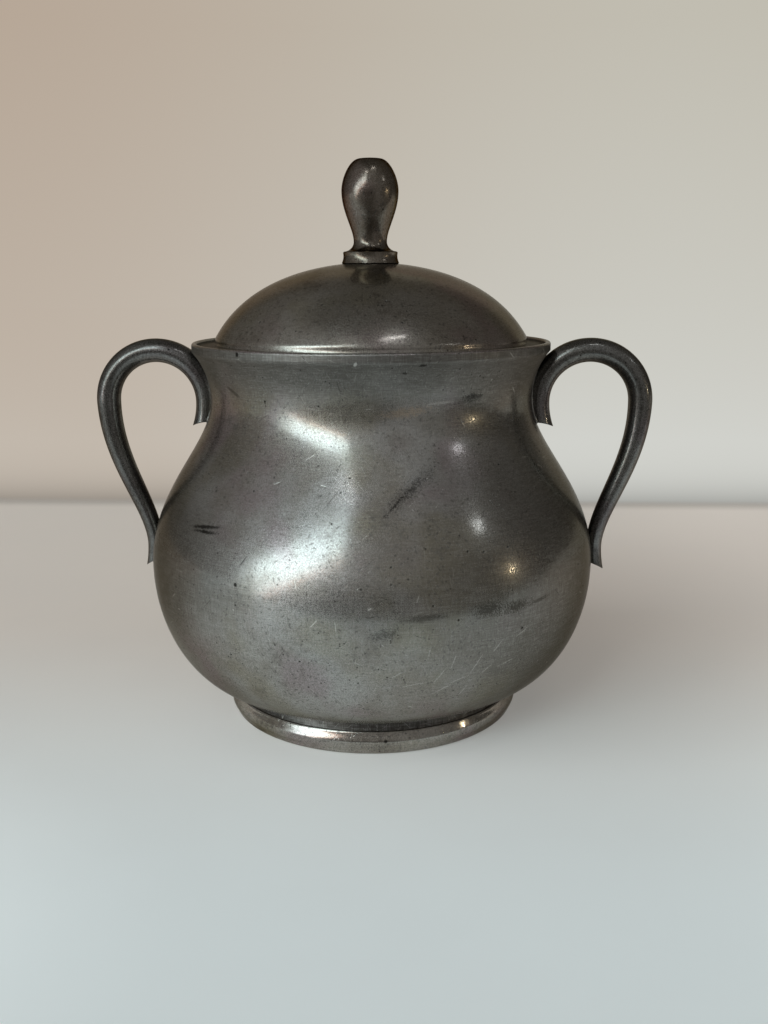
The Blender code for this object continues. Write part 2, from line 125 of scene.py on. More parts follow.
class Steps:
    """The node tree of a finish. Each method adds a step and gives back its result; lengths are in mm."""

    def __init__(self, tree):
        self.tree = tree
        self.coordinates = self.step("TexCoord", {}).outputs
        self.place = self.vector("SCALE", self.coordinates["Object"], scale=1000.0)
        self.axes = self.step("SeparateXYZ", {0: self.place}).outputs

    def step(self, kind, feeds, **settings):
        node = self.tree.nodes.new("ShaderNode" + kind)
        for key, value in settings.items():
            setattr(node, key, value)
        for socket, feed in feeds.items():
            if isinstance(feed, bpy.types.NodeSocket):
                self.tree.links.new(feed, node.inputs[socket])
            else:
                node.inputs[socket].default_value = feed
        return node

    def sum(self, operation, first, second=0.0):
        return self.step("Math", {0: first, 1: second}, operation=operation).outputs[0]

    def vector(self, operation, first, second=None, scale=None):
        feeds = {0: first}
        if second is not None:
            feeds[1] = second
        if scale is not None:
            feeds["Scale"] = scale
        node = self.step("VectorMath", feeds, operation=operation)
        return node.outputs["Value" if operation in ("DOT_PRODUCT", "LENGTH") else "Vector"]

    def fade(self, value, low, high, start=0.0, end=1.0):
        feeds = {0: value, 1: low, 2: high, 3: start, 4: end}
        return self.step("MapRange", feeds, interpolation_type="SMOOTHSTEP").outputs[0]

    def noise(self, place, scale, detail=3.0, roughness=0.55):
        feeds = {"Vector": place, "Scale": scale, "Detail": detail, "Roughness": roughness}
        return self.step("TexNoise", feeds).outputs[0]

    def cells(self, place, scale):
        return self.step("TexVoronoi", {"Vector": place, "Scale": scale}).outputs

    def tint(self, mask, under, over):
        node = self.step("Mix", {0: mask, 6: under, 7: over}, data_type="RGBA")
        return node.outputs[2]

    def blend(self, mask, under, over):
        return self.step("Mix", {0: mask, 2: under, 3: over}).outputs[0]

    def lathe_lines(self, fineness, length):
        """Lines round the axis that the polishing wheel leaves. They are long but not endless."""
        return self.noise(self.unrolled(1.0, length), fineness, 4.0, 0.65)

    def unrolled(self, rise, run):
        """The place unrolled to (radius, run round the axis, height), stretched along the last two."""
        x, y, z = self.axes
        radius = self.sum("SQRT", self.sum("ADD", self.sum("POWER", x, 2.0), self.sum("POWER", y, 2.0)))
        turn = self.sum("MULTIPLY", self.sum("ARCTAN2", y, x), run)
        feeds = {0: radius, 1: turn, 2: self.sum("MULTIPLY", z, rise)}
        return self.step("CombineXYZ", feeds).outputs[0]

    def rubbing(self, fineness):
        """Short fine lines of polishing by hand, level and upright, crossing each other."""
        level = self.noise(self.unrolled(1.0, 3.0), fineness, 2.0, 0.6)
        upright = self.noise(self.unrolled(0.06, 40.0), fineness, 2.0, 0.6)
        return self.blend(0.5, level, upright)

    def scratches(self, spacing, length, width, share):
        """Straight strokes in all directions along the surface, one to a cell, in a share of the cells."""
        cell = self.cells(self.place, 1.0 / spacing)
        away = self.vector("SUBTRACT", self.place, cell["Position"])
        normal = self.coordinates["Normal"]
        random = self.vector("SUBTRACT", cell["Color"], (0.5, 0.5, 0.5))
        across = self.vector("NORMALIZE", self.vector("CROSS_PRODUCT", normal, random))
        along = self.vector("CROSS_PRODUCT", normal, across)
        side = self.sum("ABSOLUTE", self.vector("DOT_PRODUCT", away, across))
        reach = self.sum("ABSOLUTE", self.vector("DOT_PRODUCT", away, along))
        chance = self.step("SeparateColor", {0: cell["Color"]}).outputs
        reach = self.sum("DIVIDE", reach, self.fade(chance[2], 0.0, 1.0, 0.2, 1.0))
        narrow = self.fade(side, width, width * 0.3)
        stroke = self.sum("MULTIPLY", narrow, self.fade(reach, length, length * 0.4))
        return self.sum("MULTIPLY", stroke, self.sum("LESS_THAN", chance[1], share))

    def pits(self, spacing, size, share):
        """Small ragged pits, many fine and a few large, one to a cell, in a share of the cells."""
        wander = self.step("TexNoise", {"Vector": self.place, "Scale": 3.0, "Detail": 1.0}).outputs["Color"]
        shifted = self.vector("ADD", self.place, self.vector("SCALE", wander, scale=0.5 * size))
        cell = self.cells(shifted, 1.0 / spacing)
        chance = self.step("SeparateColor", {0: cell["Color"]}).outputs
        distance = self.sum("MULTIPLY", cell["Distance"], spacing)
        width = self.sum("MULTIPLY", self.sum("POWER", chance[0], 2.5), size)
        depth = self.fade(self.sum("SUBTRACT", distance, width), 0.0, -0.4 * size)
        return self.sum("MULTIPLY", depth, self.sum("LESS_THAN", chance[1], share))

    def spot(self, centre, lean, length, width, ragged):
        """One worn place on the outside, by its centre and the lean of its length from the level."""
        outward = Vector((centre.x, centre.y, 0.0)).normalized()
        level = Vector((0, 0, 1)).cross(outward)
        along = Matrix.Rotation(math.radians(lean), 3, outward) @ level
        turn = Matrix((along, outward, along.cross(outward))).transposed().to_euler()
        size = (length, max(9.0, 0.8 * length), width)
        feeds = {"Vector": self.place, "Location": centre, "Rotation": turn, "Scale": size}
        local = self.step("Mapping", feeds, vector_type="TEXTURE").outputs[0]
        edge = self.sum("ADD", self.vector("LENGTH", local), ragged)
        return self.fade(edge, 1.0, 0.5)

    def marked(self, colour, marks, broken):
        """The colour with each mark laid over it, its edge broken up by the grit of the surface."""
        for centre, lean, length, width, ragged, amount, shade in marks:
            mask = self.spot(centre, lean, length, width, self.sum("MULTIPLY", broken, ragged))
            colour = self.tint(self.sum("MULTIPLY", mask, amount), colour, shade)
        return colour


def pewter(
    name,
    bare,
    brown,
    stain,
    sheen,
    brushed,
    lines=1.0,
    wear=1.0,
    pitting=1.0,
    grain=0.25,
    glance=(0.42, 0.40, 0.36, 1.0),
    tarnish_and_painted_light=(),
    spots=(),
    grime_and_shade=None,
):
    """Worn pewter: bare metal under brown patina and dark stains, with lathe lines, scratches and pits.
    Marks of tarnish and painted light lie under the fine wear and spots over it; dirt and painted shade
    darken the colour between two heights, and glance is the tint of the metal seen edge on."""
    material = bpy.data.materials.new(name)
    material.use_nodes = True
    made = Steps(material.node_tree)
    shader = made.tree.nodes["Principled BSDF"]
    drift = made.noise(made.place, 0.028, 3.0)
    cloud = made.noise(made.place, 0.11, 5.0, 0.65)
    blush = made.noise(made.vector("ADD", made.place, (90.0, 0.0, 0.0)), 0.05, 2.0)
    speckle = made.noise(made.place, 0.9, 4.0, 0.7)
    grit = made.noise(made.place, 4.2, 2.0, 0.7)
    ring = made.lathe_lines(1.6, 0.8)
    fine_ring = made.lathe_lines(5.5, 0.9)
    frost = made.noise(made.place, 11.0, 1.0, 0.6)
    rubbed = made.rubbing(4.5)
    hairlines = made.scratches(1.7, 2.0, 0.06, 0.8)
    strokes = made.scratches(6.0, 2.2, 0.08, 0.25)
    nicks = made.scratches(7.0, 1.3, 0.13, 0.22)
    flecks = made.scratches(1.7, 0.6, 0.18, 0.65)
    pits = made.pits(1.6, 0.33, 0.3 * pitting)
    specks = made.pits(0.8, 0.26, 0.45 * pitting)

    patina = made.fade(made.blend(0.35, drift, cloud), 0.38, 0.62)
    stained = made.fade(made.blend(0.3, cloud, speckle), 0.54, 0.72, 0.0, 0.75)
    purple_blush = (brown[0] * 1.12, brown[1] * 0.95, brown[2] * 1.14, 1.0)
    olive_blush = (brown[0] * 0.98, brown[1] * 0.96, brown[2] * 0.66, 1.0)
    colour = made.tint(patina, bare, brown)
    colour = made.tint(made.fade(blush, 0.50, 0.64, 0.0, 0.55), colour, purple_blush)
    colour = made.tint(made.fade(blush, 0.48, 0.34, 0.0, 0.35), colour, olive_blush)
    broken = made.sum("SUBTRACT", made.blend(0.75, speckle, grit), 0.5)
    colour = made.marked(colour, tarnish_and_painted_light, broken)
    colour = made.tint(stained, colour, stain)
    colour = made.tint(made.fade(speckle, 0.50, 0.8, 0.0, 0.6), colour, stain)
    colour = made.tint(made.fade(grit, 0.44, 0.70, 0.0, 0.60), colour, stain)
    colour = made.tint(made.fade(grit, 0.44, 0.28, 0.0, 0.16), colour, (0.85, 0.84, 0.82, 1.0))
    # Dirt and painted shade: between two heights the colour darkens to the stain and the surface roughens.
    if grime_and_shade:
        low, high, top = grime_and_shade
        above_low = made.fade(made.axes[2], low, high)
        under = made.sum("MULTIPLY", above_low, made.fade(made.axes[2], top + 0.5, top))
        under = made.sum("MULTIPLY", under, made.fade(cloud, 0.25, 0.6, 0.75, 1.0))
        colour = made.tint(under, colour, stain)
    colour = made.tint(made.fade(rubbed, 0.42, 0.70, 0.0, 0.12 * wear), colour, (1.0, 0.99, 0.97, 1.0))
    fine_wear = (
        (strokes, 0.6 * wear, (0.015, 0.014, 0.012, 1.0)),
        (flecks, made.fade(cloud, 0.3, 0.65, 0.45, 0.75), (0.03, 0.028, 0.025, 1.0)),
        (hairlines, 0.24 * wear, (0.75, 0.74, 0.70, 1.0)),
        (nicks, 0.5 * wear, (0.80, 0.79, 0.75, 1.0)),
        (specks, 0.75, (0.02, 0.018, 0.016, 1.0)),
        (pits, 0.8, (0.018, 0.016, 0.014, 1.0)),
    )
    for kind, amount, shade in fine_wear:
        colour = made.tint(made.sum("MULTIPLY", kind, amount), colour, shade)
    colour = made.marked(colour, spots, broken)
    made.tree.links.new(colour, shader.inputs["Base Color"])

    rough = made.blend(made.fade(made.blend(0.2, frost, rubbed), 0.40, 0.58), sheen, brushed)
    rough = made.blend(made.fade(cloud, 0.4, 0.75, 0.0, 0.35), rough, brushed + 0.08)
    rough = made.blend(pits, rough, 0.8)
    if grime_and_shade:
        rough = made.blend(under, rough, 0.5)
    made.tree.links.new(rough, shader.inputs["Roughness"])

    relief = (
        (ring, 0.0022 * lines),
        (rubbed, 0.0003 * wear),
        (cloud, 0.03),
        (strokes, -0.016 * wear),
        (hairlines, -0.005 * wear),
        (nicks, -0.020 * wear),
        (pits, -0.08),
    )
    height = made.sum("MULTIPLY", fine_ring, 0.0007 * lines)
    for kind, rise in relief:
        height = made.sum("ADD", height, made.sum("MULTIPLY", kind, rise))
    bump = made.step("Bump", {"Height": height, "Distance": 0.001, "Strength": 1.0})
    made.tree.links.new(bump.outputs[0], shader.inputs["Normal"])

    shader.inputs["Metallic"].default_value = 1.0
    shader.inputs["Specular Tint"].default_value = glance
    shader.inputs["Anisotropic"].default_value = grain
    if grain:
        shader.inputs["Anisotropic Rotation"].default_value = 0.25
        tangent = made.step("Tangent", {}, direction_type="RADIAL", axis="Z")
        made.tree.links.new(tangent.outputs[0], shader.inputs["Tangent"])
    return material


def bowl_face():
    """Outer face of the bowl from the underside of the rim down to the middle of the floor."""
    flare_curve = (flare_height**2 + flare_width**2) / (2 * flare_width)
    lean = math.atan2(flare_height, flare_curve - flare_width)
    flare_centre = (throat_radius + flare_curve, throat_height)
    flare = arc(flare_centre, flare_curve, math.pi - lean, math.pi, 16)
    neck = bezier(
        (throat_radius, throat_height),
        (throat_radius, throat_height - neck_fullness),
        (belly_radius, belly_height + shoulder_fullness),
        (belly_radius, belly_height),
        44,
    )
    belly = [
        (
            floor_radius + (belly_radius - floor_radius) * math.cos(a),
            belly_height - (belly_height - floor_height) * math.sin(a),
        )
        for a in np.linspace(0, math.pi / 2, 40)
    ]
    floor = [(r, floor_height) for r in np.linspace(floor_radius, 0.0, 12)]
    return flare + neck[1:] + belly[1:] + floor[1:]


bowl_line = bowl_face()
bowl_inside = offset(bowl_line, -bowl_wall)
edge_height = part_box("bowl_body")[1].z - rim_edge
rim = [
    *arc((bowl_inside[0][0] + rim_edge, edge_height), rim_edge, math.pi, math.pi / 2, 8),
    *arc((bowl_line[0][0] - rim_edge, edge_height), rim_edge, math.pi / 2, 0, 8),
    (bowl_line[0][0], bowl_line[0][1] + rim_edge / 3),
]
bowl = turned("spun_bowl", bowl_inside[::-1] + rim + bowl_line, waver=bowl_waver)
black = (0.022, 0.020, 0.018, 1.0)
dull = (0.062, 0.056, 0.048, 1.0)
olive = (0.20, 0.18, 0.135, 1.0)
dark = (0.145, 0.138, 0.123, 1.0)
painted_warm_reflection = (0.52, 0.41, 0.29, 1.0)
clean = (0.42, 0.423, 0.42, 1.0)
bright = (0.62, 0.61, 0.58, 1.0)


def on_bowl(turn, height):
    """A place on the outside of the bowl in mm, by degrees round the axis and height."""
    heights = [1000 * z for r, z in bowl_line][::-1]
    radius = 1000 * float(np.interp(height, heights, [r for r, z in bowl_line][::-1]))
    return Vector((radius * math.cos(math.radians(turn)), radius * math.sin(math.radians(turn)), height))


# Each mark on the bowl: centre, lean from the level, length, width, raggedness, strength and colour.
# Marks under the wear: the olive patches and the clean patch are the metal's own colour. The dark patches are
# painted shade over the belly under both handles and on the right of the shoulder and neck. The warm streak
# low on the neck is a painted reflection.
bowl_tarnish_and_painted_light = [
    (on_bowl(-64.0, 41.0), 4, 15.0, 7.0, 0.9, 0.65, olive),
    (on_bowl(0.0, 32.0), 0, 78.0, 34.0, 0.6, 0.9, dark),
    (on_bowl(-12.0, 54.0), 0, 52.0, 24.0, 0.6, 0.6, dark),
    (on_bowl(-36.0, 73.0), 0, 20.0, 9.0, 0.8, 0.75, dark),
    (on_bowl(-180.0, 40.0), 0, 66.0, 22.0, 0.6, 0.95, dark),
    (on_bowl(-129.0, 75.5), 20, 10.0, 6.0, 0.9, 0.8, olive),
    (on_bowl(-48.0, 75.5), -10, 9.0, 5.0, 0.9, 0.8, dark),
    (on_bowl(-58.0, 70.0), -5, 12.0, 4.0, 0.9, 0.4, olive),
    # A painted warm reflection: a short warm streak low on the neck.
    (on_bowl(-76.0, 72.6), 6, 5.0, 1.0, 5.0, 0.6, painted_warm_reflection),
    (on_bowl(-98.0, 54.0), 80, 13.0, 7.0, 0.6, 0.75, clean),
    (on_bowl(-132.0, 66.0), 60, 15.0, 6.0, 0.9, 0.6, olive),
]
bowl_spots = [
    (on_bowl(-132.2, 49.6), 7, 5.2, 0.42, 3.4, 0.9, black),
    (on_bowl(-131.8, 48.7), 3, 4.0, 0.42, 3.4, 0.9, black),
    (on_bowl(-80.0, 56.4), 40, 3.4, 0.22, 8.0, 0.8, black),
    (on_bowl(-76.0, 58.6), 37, 3.8, 0.8, 15.0, 0.75, black),
    # A painted glint: a short bright line on the neck.
    (on_bowl(-65.0, 74.2), 3, 3.6, 0.3, 2.4, 0.6, bright),
    (on_bowl(-59.8, 35.8), 2, 4.2, 1.5, 6.5, 0.85, dull),
    (on_bowl(-52.4, 35.4), 4, 3.8, 1.2, 6.5, 0.85, dull),
    (on_bowl(-45.0, 35.4), 8, 3.4, 0.5, 4.0, 0.65, dull),
    (on_bowl(-75.0, 35.6), 3, 4.6, 0.9, 3.4, 0.55, dull),
    (on_bowl(-84.0, 32.6), 10, 2.4, 1.2, 9.0, 0.6, black),
    (on_bowl(-119.0, 40.3), 0, 0.5, 0.5, 0.5, 0.95, black),
    (on_bowl(-117.6, 44.8), 55, 1.7, 0.16, 0.4, 0.7, black),
    (on_bowl(-97.0, 57.0), 52, 3.0, 0.13, 1.6, 0.5, black),
    (on_bowl(-137.5, 75.4), -25, 3.0, 0.6, 2.4, 0.6, dull),
    (on_bowl(-128.0, 83.5), 0, 0.55, 0.6, 0.4, 0.95, black),
    (on_bowl(-72.0, 81.9), 4, 0.9, 0.32, 3.0, 0.8, black),
    (on_bowl(-77.0, 80.4), -10, 0.7, 0.35, 3.0, 0.7, black),
    (on_bowl(-53.0, 75.0), 4, 2.4, 0.8, 7.0, 0.8, black),
    (on_bowl(-90.9, 82.2), 60, 0.6, 0.4, 1.2, 0.85, bright),
]
for turn, height, lean, length in (
    (-71.0, 23.0, 55, 2.4),
    (-68.0, 26.0, 75, 1.8),
    (-66.0, 21.5, 20, 2.4),
    (-62.0, 24.5, 62, 3.0),
    (-59.0, 22.8, 40, 1.6),
    (-77.0, 21.4, 8, 3.2),
    (-70.0, 19.6, 28, 2.6),
    (-57.0, 27.5, 50, 1.8),
    (-53.0, 23.5, 15, 2.0),
    (-81.0, 24.0, 30, 1.6),
    (-86.0, 21.0, 70, 1.4),
    (-64.0, 18.6, 60, 1.6),
    (-74.0, 28.5, 80, 1.6),
    (-50.0, 29.5, 25, 1.8),
    (-90.0, 26.5, -30, 1.4),
):
    bowl_spots.append((on_bowl(turn, height), lean, length, 0.17, 3.6, 0.38, bright))
bowl_finish = pewter(
    "bowl_pewter",
    bare=(0.44, 0.437, 0.425, 1.0),
    brown=(0.30, 0.278, 0.25, 1.0),
    stain=(0.15, 0.143, 0.130, 1.0),
    sheen=0.105,
    brushed=0.40,
    tarnish_and_painted_light=bowl_tarnish_and_painted_light,
    spots=bowl_spots,
    # Dirt and painted shade darken the flare from the throat up to under the rim.
    grime_and_shade=(72.0, 79.0, 83.7),
)
bowl.data.materials.append(bowl_finish)
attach(bowl, "bowl")
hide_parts("bowl_body")

# Foot ring: a cast ring turned to a swelled band and an upright collar, soldered under the bowl.
# The band stands out from the tarnish because cloth and table keep rubbing it bright.
foot_radius = 0.0328
foot_width = 0.0036
foot_swell = 0.0007
foot_sag = 1.35
foot_step = 0.0005
collar_height = 0.0027
foot_edge = 0.0010
groove_edge = 0.0001
foot_bite = 0.0002
below_belly = [point for point in bowl_line if point[1] < belly_height]
belly_radii = [point[0] for point in below_belly][::-1]
belly_levels = [point[1] for point in below_belly][::-1]
band_top = floor_height - collar_height
seat = [
    (r, float(np.interp(r, belly_radii, belly_levels)) + foot_bite)
    for r in np.linspace(foot_radius - foot_width, foot_radius - foot_step, 9)
]
band = [
    (foot_radius + foot_swell * math.sin(math.pi * s**foot_sag), band_top + s * (foot_edge - band_top))
    for s in np.linspace(0, 1, 21)
]
foot_outline = [
    *seat,
    (foot_radius - foot_step, band_top + groove_edge),
    (foot_radius - foot_step + groove_edge, band_top),
    (foot_radius - groove_edge, band_top),
    *band[1:],
    *arc((foot_radius - foot_edge, foot_edge), foot_edge, 0, -math.pi / 2, 6)[1:],
    *arc((foot_radius - foot_width + foot_edge, foot_edge), foot_edge, -math.pi / 2, -math.pi, 6),
]
foot = turned("foot_band", foot_outline, ring=True, waver=bowl_waver / 2)
foot_finish = pewter(
    "foot_pewter",
    bare=(0.45, 0.43, 0.395, 1.0),
    brown=(0.30, 0.275, 0.238, 1.0),
    stain=(0.055, 0.050, 0.045, 1.0),
    sheen=0.05,
    brushed=0.15,
    spots=[(Vector((4.5, -33.2, 3.3)), 0, 0.5, 0.45, 0.8, 0.9, black)],
    # Dirt and painted shade darken the collar, which stands in the recess under the belly.
    grime_and_shade=(4.9, 5.4, 8.2),
)
foot.data.materials.append(foot_finish)
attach(foot, "bowl")
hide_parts("foot_ring")

# Handles: one cast bar used twice, bent to a scroll whose ends are scooped out to a claw. Each is filed
# to the neck and the belly and soldered there, and its patina is nearly black.
loop_radius = 0.0114
loop_height = throat_height - 0.0013
curl_standoff = 0.0015
curl_curve = 0.0186
curl_sweep = math.radians(21)
limb_upper_fullness = 0.0149
limb_lower_fullness = 0.0091
tail_height = belly_height + 0.0021
tail_standoff = 0.0011
tail_curve = 0.0275
tail_sweep = math.radians(12.6)
loop_thickness = 0.0053
tail_thickness = 0.0034
bar_breadth = 1.15
scoop_radius = 0.0055
scoop_lean = math.radians(32)
claw_edge = 0.0003
bar_sides = 40
bar_steps = 150
bar_probe = 0.0002
solder_thickness = 0.00035
neck_stretch = 0.024
belly_stretch = 0.020


def bar_route():
    """Centre line of the bar as rows of (out from the axis, height, half thickness), from curl to tail."""
    centre = (throat_radius + curl_standoff + loop_radius, loop_height)
    curl_centre = (centre[0] - loop_radius + curl_curve, loop_height)
    curl = arc(curl_centre, curl_curve, math.pi + curl_sweep, math.pi, 20)
    loop = arc(centre, loop_radius, math.pi, 0.0, 80)
    tail_top = (belly_radius + tail_standoff, tail_height)
    limb = bezier(
        loop[-1],
        (loop[-1][0], loop[-1][1] - limb_upper_fullness),
        (tail_top[0], tail_top[1] + limb_lower_fullness),
        tail_top,
        60,
    )
    tail = arc((tail_top[0] + tail_curve, tail_top[1]), tail_curve, math.pi, math.pi + tail_sweep, 16)
    taper = np.linspace(loop_thickness / 2, tail_thickness / 2, len(limb))
    rows = [(*p, loop_thickness / 2) for p in curl[:-1] + loop]
    rows += [(*p, half) for p, half in zip(limb[1:], taper[1:])]
    rows += [(*p, tail_thickness / 2) for p in tail[1:]]
    return np.array(rows)


route = bar_route()
strides = np.hypot(*np.diff(route[:, :2], axis=0).T)
distances = np.concatenate([[0.0], np.cumsum(strides)])
bar_length = distances[-1]


def bar_point(along, left, breadth):
    """A point so far along the bar, so far to the left of its run and so far out along Y."""
    near = np.array([along - bar_probe, along, along + bar_probe])
    out = np.interp(near, distances, route[:, 0])
    height = np.interp(near, distances, route[:, 1])
    side = math.atan2(height[2] - height[0], out[2] - out[0]) + math.pi / 2
    return Vector((out[1] + left * math.cos(side), breadth, height[1] + left * math.sin(side)))


def scoop_depth(claw, half):
    """How far the scooped end lies short of the claw's point, at a place across the bar."""
    lead = scoop_radius * math.sin(scoop_lean)
    drop = half - scoop_radius * math.cos(scoop_lean)
    return math.sqrt(scoop_radius**2 - (claw - drop) ** 2) - lead


def bar_rings():
    """Rings of points round the bar: in the curl's scoop, along the bar, and in the tail's scoop."""
    curl, tail = loop_thickness / 2, tail_thickness / 2
    angles = np.linspace(0, 2 * math.pi, bar_sides, endpoint=False)
    inward = np.linspace(0.1, 1, 8)
    rings = []
    for share in inward:
        across = [(curl * share * math.cos(a), curl * share * bar_breadth * math.sin(a)) for a in angles]
        rings.append([bar_point(scoop_depth(-left, curl), left, wide) for left, wide in across])
    for step in np.linspace(0, 1, bar_steps)[1:-1]:
        ring = []
        for a in angles:
            start = scoop_depth(-curl * math.cos(a), curl)
            end = bar_length - scoop_depth(tail * math.cos(a), tail)
            along = start + step * (end - start)
            half = float(np.interp(along, distances, route[:, 2]))
            ring.append(bar_point(along, half * math.cos(a), half * bar_breadth * math.sin(a)))
        rings.append(ring)
    for share in inward[::-1]:
        across = [(tail * share * math.cos(a), tail * share * bar_breadth * math.sin(a)) for a in angles]
        rings.append([bar_point(bar_length - scoop_depth(left, tail), left, wide) for left, wide in across])
    return rings


def skin(name, rings):
    """A closed piece over rings of points, with its two ends filled."""
    shape = bmesh.new()
    rows = [[shape.verts.new(point) for point in ring] for ring in rings]
    for row, following in zip(rows, rows[1:]):
        for i in range(len(row)):
            j = (i + 1) % len(row)
            shape.faces.new((row[i], row[j], following[j], following[i]))
    shape.faces.new(rows[0])
    shape.faces.new(rows[-1])
    return show(name, shape)


def solder_loop(first, last, facing):
    """Points round the patch where a stretch of the bar meets the bowl, found on both surfaces."""
    heights = [z for r, z in bowl_line][::-1]
    radii = [r for r, z in bowl_line][::-1]
    sides = ([], [])
    for along in np.linspace(first, last, 60):
        half = float(np.interp(along, distances, route[:, 2]))
        swing = np.linspace(0, math.pi, 200)
        points = [
            bar_point(along, half * math.cos(facing + a), half * bar_breadth * math.sin(facing + a))
            for a in swing
        ]
        clear = [math.hypot(p.x, p.y) > np.interp(p.z, heights, radii) for p in points]
        if clear[0] or True not in clear:
            continue
        meeting = points[clear.index(True)]
        sides[0].append(meeting)
        sides[1].append(Vector((meeting.x, -meeting.y, meeting.z)))
    return sides[0] + sides[1][::-1]


def solder_bead(name, loop, thickness):
    """A run of solder along a loop, uneven in thickness because it was run in by hand."""
    run = bpy.data.curves.new(name, "CURVE")
    run.dimensions = "3D"
    run.bevel_depth = thickness
    run.bevel_resolution = 5
    spline = run.splines.new("POLY")
    spline.points.add(len(loop) - 1)
    spline.use_cyclic_u = True
    for i, (point, place) in enumerate(zip(spline.points, loop)):
        point.co = (*place, 1.0)
        point.radius = 1 + 0.25 * math.sin(0.9 * i) * math.sin(0.37 * i + 1)
    bead = bpy.data.objects.new(name, run)
    bpy.context.scene.collection.objects.link(bead)
    return bead


handle_finish = pewter(
    "handle_pewter",
    bare=(0.20, 0.198, 0.190, 1.0),
    brown=(0.115, 0.108, 0.098, 1.0),
    stain=(0.050, 0.046, 0.042, 1.0),
    sheen=0.12,
    brushed=0.34,
    lines=0.0,
    wear=0.5,
    grain=0.0,
)
solder_finish = pewter(
    "solder_grey",
    bare=(0.30, 0.30, 0.285, 1.0),
    brown=(0.16, 0.15, 0.135, 1.0),
    stain=(0.06, 0.055, 0.05, 1.0),
    sheen=0.30,
    brushed=0.50,
    lines=0.0,
    wear=0.3,
    grain=0.0,
)
neck_heel = scoop_depth(-loop_thickness / 2, loop_thickness / 2)
belly_heel = bar_length - scoop_depth(-tail_thickness / 2, tail_thickness / 2)
neck_loop = solder_loop(neck_heel, neck_stretch, 0.0)
belly_loop = solder_loop(bar_length - belly_stretch, belly_heel, math.pi)
scroll_rings = bar_rings()
for hand, turn in (("right", 0.0), ("left", math.pi)):
    handle = skin(f"{hand}_scroll", scroll_rings)
    rounding = handle.modifiers.new("filed_edges", "BEVEL")
    rounding.width = claw_edge
    rounding.segments = 3
    rounding.limit_method = "ANGLE"
    rounding.angle_limit = math.radians(40)
    handle.data.materials.append(handle_finish)
    handle.data.transform(Matrix.Rotation(turn, 4, "Z"))
    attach(handle, "bowl")
    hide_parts(f"handle_{hand}")
    for spot, loop in (("neck", neck_loop), ("belly", belly_loop)):
        bead = solder_bead(f"{hand}_{spot}_solder", loop, solder_thickness)
        bead.data.materials.append(solder_finish)
        bead.data.transform(Matrix.Rotation(turn, 4, "Z"))
        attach(bead, "bowl")

# Lid dome: spun from sheet like the bowl, with a short upright edge and a flat brim that beds inside the
# flare of the rim. Its crown is browner than the bowl, because fewer hands rub it.
lid_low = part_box("lid_dome")[0]
brim_thickness = 0.0012
brim_width = 0.0028
lid_wall = 0.0013
lid_gap = 0.0003
dome_edge_height = 0.0024
dome_edge_round = 0.0004
dome_height = 0.01895
dome_crown_fullness = 0.0108
dome_foot_fullness = 0.0144
dome_foot_slope = math.radians(31)
brim_edge = 0.0003
screw_hole = 0.0018
rim_bed = offset(bowl_line, -(bowl_wall + lid_gap))[:16][::-1]
bed_levels = [z for r, z in rim_bed]
bed_radii = [r for r, z in rim_bed]
brim_low = float(np.interp(lid_low.z, bed_levels, bed_radii))
brim_high = float(np.interp(lid_low.z + brim_thickness, bed_levels, bed_radii))
dome_radius = brim_low - brim_width
dome_foot = (dome_radius - dome_edge_round, lid_low.z + brim_thickness + dome_edge_height)
dome_top = lid_low.z + dome_height
crown = bezier(
    (0.0, dome_top),
    (dome_crown_fullness, dome_top),
    (
        dome_foot[0] - dome_foot_fullness * math.sin(dome_foot_slope),
        dome_foot[1] + dome_foot_fullness * math.cos(dome_foot_slope),
    ),
    dome_foot,
    60,
)
lining = offset(crown, -lid_wall)
brim_top = lid_low.z + brim_thickness
dome_edge = bezier(
    dome_foot,
    (dome_foot[0] + 0.6 * dome_edge_round, dome_foot[1] - dome_edge_round),
    (dome_radius, dome_foot[1] - 1.5 * dome_edge_round),
    (dome_radius, dome_foot[1] - 3 * dome_edge_round),
    10,
)
lid_outline = [
    *[p for p in crown if p[0] > screw_hole],
    *dome_edge[1:],
    (dome_radius, brim_top + brim_edge),
    (dome_radius + brim_edge, brim_top),
    (brim_high - brim_edge, brim_top),
    (brim_high, brim_top - brim_edge),
    (brim_low, lid_low.z + brim_edge),
    (brim_low - brim_edge, lid_low.z),
    (lining[-1][0], lid_low.z),
    *[p for p in lining[::-1] if p[0] > screw_hole],
]
lid = turned("spun_lid", lid_outline, ring=True, waver=bowl_waver)
lid_finish = pewter(
    "lid_pewter",
    bare=(0.37, 0.352, 0.320, 1.0),
    brown=(0.265, 0.238, 0.202, 1.0),
    stain=(0.125, 0.111, 0.095, 1.0),
    sheen=0.09,
    brushed=0.36,
    wear=0.5,
    pitting=1.7,
    # Dirt and painted shade darken the brim, where it sits down inside the rim.
    grime_and_shade=(82.0, 83.0, 83.7),
)
lid.data.materials.append(lid_finish)
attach(lid, "lid")
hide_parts("lid_dome")

